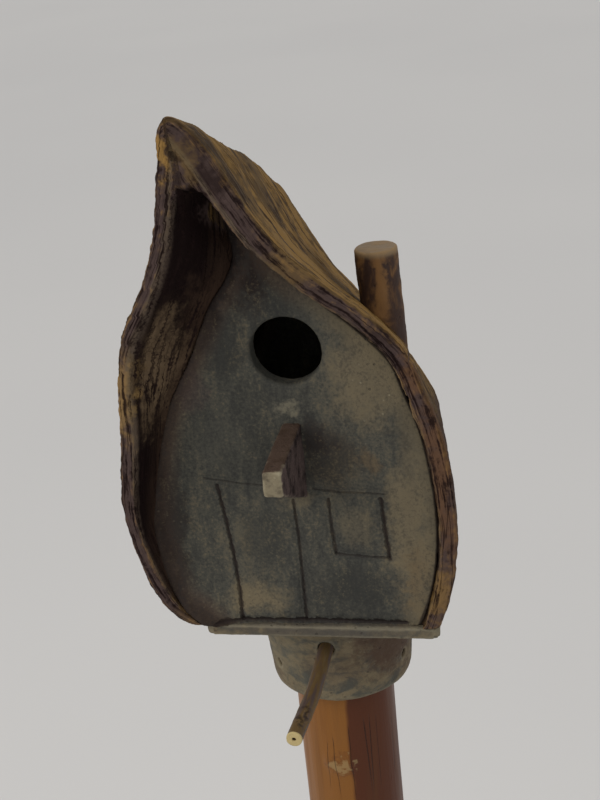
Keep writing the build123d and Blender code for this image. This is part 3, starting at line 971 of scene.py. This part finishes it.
def wall_clay():
    """Grey and beige mottled clay of the walls, stained along its borders and dark in scratches, with
    painted shade under the roof, in its side corners and beside the bracket.
    """
    n = Finish("wall_clay")
    paint, place = n.paint, n.place
    grog = n.use("Grog", Vector=place)
    brush = n.stretch(place, (1, 1, 0.3))
    broad = n.cloudy(brush, 34.0, 5.0, 0.6, 0.4)
    small = n.cloudy(brush, 210.0, 5.0, 0.65)
    tiny = n.cloudy(place, 700.0, 4.0, 0.7)
    mix = n.plus(broad, n.swing(small, 0.6), n.swing(tiny, 0.5))
    n.body = paint.slate
    n.tone(mix, 0.18, 0.72, paint.grey)
    n.tone(mix, 0.52, 0.82, paint.beige, 0.32)
    n.patches([
        # Painted shade at the top of the wall under the roof
        ((-16, -50, 1036), (17, 20, 32), paint.umber_dark, 0.9),
        ((-30, -50, 1000), (12, 20, 26), paint.slate, 0.6),
        ((-34, -50, 950), (14, 20, 16), paint.grey, 0.5),
        ((-27, -50, 869), (18, 20, 12), paint.beige, 0.85),
        ((-20, -50, 900), (16, 20, 24), paint.slate, 0.45),
        ((17, -50, 874), (28, 20, 14), paint.slate, 0.6),
        ((23, -50, 905), (11, 20, 12), paint.beige, 0.3),
        ((34, -50, 982), (20, 20, 34), paint.beige, 0.75),
        ((46, -50, 905), (12, 20, 50), paint.beige, 0.75),
        ((49, -50, 878), (8, 20, 22), paint.tan, 0.4),
        # Painted shadow of the bracket on the wall beside it, partly a real dark stain
        ((14, -50, 940), (15, 20, 20), paint.umber_dark, 0.5),
        ((7, -50, 950), (9, 20, 13), paint.umber_dark, 0.6),
        ((29, -50, 936), (6, 20, 10), paint.tan, 0.4),
        ((-6, -50, 965), (8, 20, 4), paint.chalk, 0.3),
        ((-3, -50, 918), (10, 20, 8), paint.beige, 0.4),
    ])
    border = n.read("border")
    wander = n.plus(border, n.swing(mix, 1.2))
    right = n.ease(n.axes(place)["X"], -20 * MM, 30 * MM)
    band = n.ease(wander, 0.15, 1.1, 1.0, 0.0)
    n.wash(n.times(band, right), paint.beige, 0.6)
    left = n.minus(1.0, right)
    n.wash(n.times(band, left), paint.rust, 0.8)
    n.patches([
        ((-62, -53, 905), (9, 20, 44), paint.umber_dark, 0.55),
        # Painted shade in the wall's upper left corner under the roof
        ((-34, -52, 1012), (12, 20, 22), paint.umber_dark, 0.55),
        # Darker umber along the left border
        ((-47, -52, 980), (8, 20, 20), paint.umber, 0.4),
        # Painted shade in the same corner, blending into the inner faces
        ((-23, -52, 1040), (10, 20, 22), paint.painted_shade, 0.85),
        ((-28, -52, 1023), (7, 20, 20), paint.painted_shade, 0.6),
    ])
    sift = n.plus(n.times(tiny, 0.6), n.times(small, 0.4))
    n.tone(sift, 0.52, 0.36, paint.slate, 0.5)
    n.tone(sift, 0.52, 0.68, paint.beige, 0.4)
    # Painted shade in the corner where the wall meets the left side
    n.wash(n.times(n.ease(border, 0.5, 0.0), left), paint.painted_shade, 0.6)
    # Painted shadow in the thin gap between the wall and the right side
    seam_shadow = n.ease(border, 0.02, 0.1, 1.0, 0.0)
    n.wash(n.times(seam_shadow, right), paint.umber_dark, 0.8)
    n.wash(n.read("scratch"), paint.umber_dark, 0.9)
    coarse = n.slip((38, -50, 985), (16, 20, 34))
    n.wash(n.times(grog["Speck"], n.plus(0.12, n.times(coarse, 0.6))), paint.chalk)
    n.wash(n.times(grog["Pit"], n.plus(0.08, n.times(coarse, 0.5))), paint.slate)
    rough = n.ease(small, 0.3, 0.7, 0.7, 0.92)
    sand = n.times(grog["Height"], n.plus(0.35, coarse))
    return n.close(rough, n.plus(sand, n.times(small, 0.8)), 0.45 * MM)


def base_clay():
    """Grey and brown mottled clay of the floor slab and the collar."""
    n = Finish("base_clay")
    paint, place = n.paint, n.place
    grog = n.use("Grog", Vector=place)
    broad = n.cloudy(n.stretch(place, (1, 1, 1.8)), 55.0, 5.0, 0.65, 0.4)
    small = n.cloudy(place, 240.0, 4.0, 0.6)
    n.body = paint.grey
    n.tone(broad, 0.38, 0.55, paint.beige)
    n.tone(broad, 0.56, 0.68, paint.rust, 0.65)
    n.tone(small, 0.5, 0.66, paint.grey, 0.5)
    n.patches([
        ((32, -22, 830), (24, 32, 28), paint.rust, 0.95),
        ((-24, -26, 830), (20, 22, 26), paint.chalk, 0.14),
        ((5, -38, 822), (20, 16, 16), paint.rust, 0.35),
        ((0, -53, 853), (70, 12, 8), n.blend(0.3, paint.grey, paint.umber), 0.85),
    ])
    edge = n.read("edge")
    n.tone(edge, 0.15, 0.6, paint.chalk, 0.3)
    n.tone(edge, -0.15, -0.6, paint.umber_dark, 0.7)
    n.wash(grog["Speck"], paint.chalk, 0.2)
    n.wash(grog["Pit"], paint.umber_dark, 0.25)
    rough = n.ease(small, 0.3, 0.7, 0.72, 0.92)
    return n.close(rough, n.plus(grog["Height"], n.times(small, 0.9)), 0.55 * MM)


def chimney_clay():
    """Tan clay of the chimney with purple-brown flanks and a pale top."""
    n = Finish("chimney_clay")
    paint, place = n.paint, n.place
    grog = n.use("Grog", Vector=place)
    streak = n.cloudy(n.stretch(place, (1, 1, 0.4)), 130.0, 5.0, 0.6, 0.4)
    n.body = paint.stack_dark
    n.tone(streak, 0.4, 0.62, paint.stack_tan)
    n.patches([
        ((37, -15, 1006), (5, 8, 24), paint.stack_tan, 0.85),
        ((27, -11, 1000), (5, 12, 36), paint.stack_dark, 0.8),
        ((42, -12, 984), (10, 14, 16), paint.stack_dark, 0.95),
        ((46, -2, 1000), (4, 10, 30), paint.stack_dark, 0.5),
    ])
    high = n.ease(n.axes(place)["Z"], 1019 * MM, 1022 * MM)
    n.wash(high, n.blend(0.45, paint.stack_tan, paint.chalk), 0.75)
    edge = n.read("edge")
    n.tone(edge, 0.2, 0.7, paint.worn, 0.3)
    n.wash(grog["Pit"], paint.umber_dark, 0.5)
    rough = n.ease(streak, 0.3, 0.7, 0.6, 0.85)
    return n.close(rough, n.plus(streak, n.times(grog["Height"], 0.4)), 0.5 * MM)


def bracket_clay():
    """Grey-brown clay of the bracket with a pale end and a top painted lighter as painted light."""
    n = Finish("bracket_clay")
    paint, place = n.paint, n.place
    grog = n.use("Grog", Vector=place)
    small = n.cloudy(place, 160.0, 5.0, 0.62)
    n.body = paint.umber_dark
    n.tone(small, 0.34, 0.58, paint.umber)
    facing = n.facing()
    # Faces that look up are painted lighter in rust as painted light from above, while the sides keep
    # the darker clay as painted shade
    n.tone(facing["Z"], 0.3, 0.8, paint.rust, 0.8)
    end = n.ease(facing["Y"], -0.45, -0.8)
    patchy = n.ease(small, 0.34, 0.52, 0.45, 0.95)
    n.wash(n.times(end, patchy), n.blend(0.35, paint.beige, paint.chalk))
    edge = n.read("edge")
    pale = n.times(n.ease(edge, 0.1, 0.5), n.ease(small, 0.42, 0.6))
    near = n.ease(n.axes(place)["Y"], -80 * MM, -92 * MM, 0.15, 0.7)
    n.wash(n.times(pale, near), paint.chalk)
    n.wash(n.times(grog["Speck"], end), paint.chalk, 0.8)
    rough = n.ease(small, 0.3, 0.7, 0.7, 0.9)
    return n.close(rough, n.plus(grog["Height"], small), 0.5 * MM)


def pole_wood():
    """Varnished peeled wood, honey on one side and red-brown on the other, with knots and cracks."""
    n = Finish("pole_wood", 0.14)
    paint, place = n.paint, n.place
    axes = n.axes(place)
    fibre = n.stretch(place, (1, 1, 0.05))
    streak = n.cloudy(fibre, 230.0, 5.0, 0.6, 0.5)
    broad = n.cloudy(fibre, 60.0, 3.0, 0.55, 0.6)
    bend = n.swing(n.cloudy(n.stretch(place, (0, 0, 1)), 14.0), 14 * MM)
    across = n.plus(n.times(axes["Y"], 0.12), n.plus(axes["X"], bend))
    n.body = paint.honey
    n.tone(across, 0.2 * MM, 2.6 * MM, paint.red_brown)
    n.tone(streak, 0.46, 0.72, paint.red_brown, 0.22)
    n.tone(broad, 0.5, 0.72, paint.bark, 0.2)
    split = n.cloudy(n.stretch(place, (1, 1, 0.035), (3.1, 0, 0)), 95.0, 1.0, 0.5)
    line = n.ease(n.calc("ABSOLUTE", n.minus(split, 0.5)), 0.0, 0.009, 1.0, 0.0)
    crack = n.times(line, n.ease(n.cloudy(place, 16.0, 1.0), 0.56, 0.64))
    n.wash(crack, paint.umber_dark, 0.55)
    for x, y, z, size in KNOTS:
        rings = n.slip((x, y, z), (size, size, size * KNOT_SHAPE[1]))
        n.tone(rings, 0.1, 0.5, paint.red_brown, 0.3)
        n.tone(rings, 0.5, 1.0, paint.cut_wood, 0.3)
    n.fill(n.skin["Coat Weight"], 0.06)
    n.fill(n.skin["Coat Roughness"], 0.28)
    rough = n.ease(streak, 0.3, 0.7, 0.3, 0.48)
    return n.close(rough, n.minus(n.times(streak, 0.5), crack), 0.5 * MM)


def twig_wood():
    """Brown bark of the twig with a dark patch near the tip and a pale cut end."""
    n = Finish("twig_wood")
    paint, place = n.paint, n.place
    fibre = n.stretch(place, (1, 0.12, 1))
    streak = n.cloudy(fibre, 420.0, 3.0, 0.55, 0.3)
    n.body = paint.umber
    n.tone(streak, 0.34, 0.6, paint.bark)
    n.tone(streak, 0.56, 0.76, paint.beige, 0.4)
    n.patches([((1.8, -100, 836.5), (3.2, 9, 4.5), paint.umber_dark, 0.9)])
    n.tone(n.axes(place)["Y"], -109.6 * MM, -110.3 * MM, paint.cut_wood)
    rough = n.ease(streak, 0.3, 0.7, 0.5, 0.75)
    return n.close(rough, streak, 0.35 * MM)


def screw_steel():
    """Dull rusty steel of the small screws."""
    n = Finish("screw_steel")
    paint, place = n.paint, n.place
    spots = n.cloudy(place, 900.0, 4.0, 0.6)
    n.body = paint.steel
    n.tone(spots, 0.45, 0.65, paint.rust)
    n.fill(n.skin["Metallic"], n.ease(spots, 0.45, 0.65, 0.9, 0.1))
    rough = n.ease(spots, 0.3, 0.7, 0.4, 0.7)
    return n.close(rough, spots, 0.1 * MM)


# Stage


def photo_camera():
    """Camera with the photo's view."""
    away, lift = math.cos(CAMERA_RISE), math.sin(CAMERA_RISE)
    back = Vector((math.sin(CAMERA_TURN) * away, -math.cos(CAMERA_TURN) * away, lift))
    level = Vector((math.cos(CAMERA_TURN), math.sin(CAMERA_TURN), 0))
    above = back.cross(level)
    right = level * math.cos(CAMERA_ROLL) + above * math.sin(CAMERA_ROLL)
    up = above * math.cos(CAMERA_ROLL) - level * math.sin(CAMERA_ROLL)
    view = bpy.data.cameras.new("photo_camera")
    view.sensor_fit = "VERTICAL"
    view.sensor_height = CAMERA_SENSOR
    view.lens = CAMERA_LENS
    view.clip_start = CAMERA_CLIP
    holder = new_object("photo_camera", view)
    turned = Matrix((right, up, back)).transposed().to_4x4()
    holder.matrix_world = Matrix.Translation(CAMERA_AIM + back * CAMERA_AWAY) @ turned
    return holder


# Steps


class BIRDHOUSE_OT_shell(bpy.types.Operator):
    """Model the bent slabs of the roof and the sides, pinched together at the ridge"""

    bl_idname = "birdhouse.shell"
    bl_label = "Shell"

    def execute(self, context):
        sizes = context.scene.birdhouse_sizes
        sides, halves = ("left", "right"), ("roof", "side")
        slabs = [copy_of(f"{side}_{half}_slab", "clay_roof") for half in halves for side in sides]
        roof = slabs[0]
        join_into(roof, slabs[1:])
        grow(roof, sizes.joint_growth)
        soften(roof, sizes.slab_mesh, sizes.softening)
        lay_grain(roof)
        round_tip(roof)
        press(roof, "hand lumps", sizes.slab_lumps, LUMP_SIZE, level=0.4)
        press(
            roof, "scraped streaks", sizes.slab_streaks, SCRAPE_SIZE, steps=3, level=0.4,
            texture_coords="UV", uv_layer="grain", vertex_group="slopes",
        )
        press(roof, "torn rims", sizes.slab_tears, TEAR_SIZE, steps=3, vertex_group="rims")
        press(roof, "sandy grain", sizes.fine_grain, SLAB_SAND, level=0.4)
        crease(roof, RIGHT_LAP)
        mark_edges(roof, rounds=10, scale=SLAB_EDGE)
        right_side = cut_off(roof, "clay_right_side", RIGHT_LAP)
        left_side = cut_off(roof, "clay_left_side", LEFT_LAP)
        clay = shell_clay()
        finish(roof, clay, "roof_clay", "left_roof_slab", "right_roof_slab")
        finish(left_side, clay, "roof_clay", "left_side_slab")
        finish(right_side, clay, "roof_clay", "right_side_slab")
        return {"FINISHED"}


class BIRDHOUSE_OT_walls(bpy.types.Operator):
    """Model the front wall with its entrance and scratched lines, and the back wall"""

    bl_idname = "birdhouse.walls"
    bl_label = "Walls"

    def execute(self, context):
        sizes = context.scene.birdhouse_sizes
        clay = wall_clay()
        for node, face_size in (("front_wall", sizes.wall_mesh), ("back_wall", sizes.plain_mesh)):
            piece = copy_of(node, f"clay_{node}")
            grow(piece, sizes.wall_growth)
            soften(piece, face_size, rounds=1)
            if node == "front_wall":
                scratch_lines(piece)
            points = points_of(piece)
            insets = [along_shell(points, tables)[1] for tables in (LEFT_TABLES, RIGHT_TABLES)]
            inside = [np.linalg.norm(inset, axis=1) - SLAB_THICKNESS for inset in insets]
            border = np.minimum(*inside) / MARK_UNIT
            mark(piece, "border", border)
            if node == "front_wall":
                lay_bead(piece, border, inside[0] < inside[1])
            weather(piece, WALL_HOLLOWS, level=0.42, scale=WALL_EDGE)
            finish(piece, clay, "wall_clay", node)
        return {"FINISHED"}


class BIRDHOUSE_OT_base(bpy.types.Operator):
    """Model the floor slab and the collar"""

    bl_idname = "birdhouse.base"
    bl_label = "Floor and Collar"

    def execute(self, context):
        sizes = context.scene.birdhouse_sizes
        clay = base_clay()
        for node in ("floor_slab", "collar"):
            model_clay(node, clay, "base_clay", sizes.plain_mesh, BASE_HOLLOWS, BASE_EDGE)
        return {"FINISHED"}


class BIRDHOUSE_OT_stack_and_bracket(bpy.types.Operator):
    """Model the chimney and the bracket"""

    bl_idname = "birdhouse.stack_and_bracket"
    bl_label = "Chimney and Bracket"

    def execute(self, context):
        sizes = context.scene.birdhouse_sizes
        for node, clay, face_size in (
            ("chimney", chimney_clay(), sizes.small_mesh),
            ("bracket", bracket_clay(), sizes.small_mesh * BRACKET_SHARE),
        ):
            model_clay(node, clay, "chimney_clay", face_size, SMALL_HOLLOWS, SMALL_EDGE)
        return {"FINISHED"}


class BIRDHOUSE_OT_pole(bpy.types.Operator):
    """Model the peeled pole with its knots"""

    bl_idname = "birdhouse.pole"
    bl_label = "Pole"

    def execute(self, context):
        sizes = context.scene.birdhouse_sizes
        piece = copy_of("pole", "peeled_pole")
        knots = []
        for x, y, z, size in KNOTS:
            bpy.ops.mesh.primitive_uv_sphere_add(
                segments=24, ring_count=12, radius=size * MM, location=(x * MM, y * MM, z * MM),
                rotation=turned_to(Vector((x, y, 0)).normalized()), scale=KNOT_SHAPE,
            )
            knots.append(context.active_object)
        join_into(piece, knots)
        soften(piece, sizes.pole_mesh, rounds=6)
        long_way = new_object("long way", None)
        long_way.scale = FLAT_STRETCH
        context.view_layer.update()
        press(
            piece, "peeled flats", FLAT_DEPTH, FLAT_SIZE, texture_coords="OBJECT",
            texture_coords_object=long_way,
        )
        bpy.data.objects.remove(long_way)
        finish(piece, pole_wood(), "pole_wood", "pole")
        return {"FINISHED"}


class BIRDHOUSE_OT_twig(bpy.types.Operator):
    """Model the twig with its bud scar and its hollow pith"""

    bl_idname = "birdhouse.twig"
    bl_label = "Twig"

    def execute(self, context):
        sizes = context.scene.birdhouse_sizes
        piece = copy_of("twig", "perch_twig")
        bpy.ops.mesh.primitive_uv_sphere_add(
            segments=20, ring_count=10, radius=BUD_RADIUS, location=BUD_PLACE, scale=BUD_SHAPE
        )
        join_into(piece, [context.active_object])
        bpy.ops.mesh.primitive_cylinder_add(
            vertices=16, radius=PITH_RADIUS, depth=PITH_DEPTH, location=TWIG_TIP,
            rotation=turned_to(TWIG_AIM),
        )
        pith = context.active_object
        soften(piece, sizes.twig_mesh, rounds=3)
        carve(piece, pith)
        press(piece, "bark ripples", RIPPLE_DEPTH, RIPPLE_SIZE)
        finish(piece, twig_wood(), "twig_wood", "twig")
        return {"FINISHED"}


class BIRDHOUSE_OT_screws(bpy.types.Operator):
    """Model the three screws sunk in the collar"""

    bl_idname = "birdhouse.screws"
    bl_label = "Screws"

    def execute(self, context):
        bpy.ops.mesh.primitive_cylinder_add(vertices=24, radius=SCREW_RADIUS, depth=SCREW_HEIGHT)
        first = context.active_object
        first.name = "collar_screw_1"
        shape(first, "BEVEL", width=0.5 * MM, segments=3, limit_method="ANGLE")
        bpy.ops.mesh.primitive_cube_add(size=1, location=(0, 0, SCREW_HEIGHT / 2), scale=SCREW_SLOT)
        carve(first, context.active_object)
        steel = screw_steel()
        screws = [first] + [new_object(f"collar_screw_{count}", first.data.copy()) for count in (2, 3)]
        for screw, turn in zip(screws, SCREW_TURNS):
            out = Vector((math.sin(math.radians(turn)), -math.cos(math.radians(turn)), 0))
            screw.rotation_euler = turned_to(out)
            screw.location = out * SCREW_OUT + Vector((0, 0, SCREW_Z))
            finish(screw, steel)
            pick(screw)
            bpy.ops.object.shade_smooth_by_angle(angle=SCREW_CREASE)
        return {"FINISHED"}


class BIRDHOUSE_OT_stage(bpy.types.Operator):
    """Set the floor, the soft light and the camera"""

    bl_idname = "birdhouse.stage"
    bl_label = "Stage"

    def execute(self, context):
        scene = context.scene
        scene.view_settings.view_transform = "Standard"
        bpy.ops.object.select_all(action="DESELECT")
        bpy.ops.mesh.primitive_circle_add(vertices=96, radius=FLOOR_RADIUS, fill_type="NGON")
        ground = context.active_object
        ground.name = "stage_floor"
        n = Finish("stage_floor", 0.1)
        cast = n.ease(n.cloudy(n.place, 0.6, 2.0), 0.3, 0.7, 0.0, 0.08)
        n.fill(n.skin["Base Color"], n.blend(cast, n.paint.floor, FLOOR_CAST))
        n.fill(n.skin["Roughness"], 0.95)
        ground.data.materials.append(n.made)
        sky = bpy.data.worlds.new("soft sky")
        scene.world = sky
        sky.use_nodes = True
        glow = sky.node_tree.nodes["Background"]
        glow.inputs["Color"].default_value = SKY_HUE
        glow.inputs["Strength"].default_value = SKY_POWER
        for name, spot, size, power, hue in LAMPS:
            lamp = bpy.data.lights.new(name, "AREA")
            lamp.size = size
            lamp.energy = power
            lamp.color = hue
            holder = new_object(name, lamp)
            holder.location = spot
            holder.rotation_euler = turned_to(LAMP_AIM - Vector(spot), "-Z")
        scene.camera = photo_camera()
        return {"FINISHED"}


class BIRDHOUSE_PT_sidebar(bpy.types.Panel):
    """Steps of the birdhouse in order"""

    bl_idname = "BIRDHOUSE_PT_sidebar"
    bl_label = "Birdhouse"
    bl_space_type = "VIEW_3D"
    bl_region_type = "UI"
    bl_category = "Birdhouse"

    def draw(self, context):
        for operator in OPERATORS:
            self.layout.operator(operator.bl_idname)
        for group in (context.scene.birdhouse_sizes, context.scene.birdhouse_colours):
            for key in group.bl_rna.properties.keys():
                if key not in {"rna_type", "name"}:
                    self.layout.prop(group, key)


OPERATORS = (
    BIRDHOUSE_OT_shell,
    BIRDHOUSE_OT_walls,
    BIRDHOUSE_OT_base,
    BIRDHOUSE_OT_stack_and_bracket,
    BIRDHOUSE_OT_pole,
    BIRDHOUSE_OT_twig,
    BIRDHOUSE_OT_screws,
    BIRDHOUSE_OT_stage,
)
CLASSES = (BirdhouseSizes, BirdhouseColours, *OPERATORS, BIRDHOUSE_PT_sidebar)


def register():
    """Registers the classes and their settings."""
    for made in CLASSES:
        bpy.utils.register_class(made)
    bpy.types.Scene.birdhouse_sizes = PointerProperty(type=BirdhouseSizes)
    bpy.types.Scene.birdhouse_colours = PointerProperty(type=BirdhouseColours)


def unregister():
    """Removes the settings and the classes."""
    del bpy.types.Scene.birdhouse_sizes
    del bpy.types.Scene.birdhouse_colours
    for made in reversed(CLASSES):
        bpy.utils.unregister_class(made)


def main():
    """Builds everything in order."""
    register()
    for build_group in (slab_grain_group, grog_group, patch_group):
        build_group()
    bpy.ops.birdhouse.shell()
    bpy.ops.birdhouse.walls()
    bpy.ops.birdhouse.base()
    bpy.ops.birdhouse.stack_and_bracket()
    bpy.ops.birdhouse.pole()
    bpy.ops.birdhouse.twig()
    bpy.ops.birdhouse.screws()
    bpy.ops.birdhouse.stage()


if __name__ == "__main__":
    main()
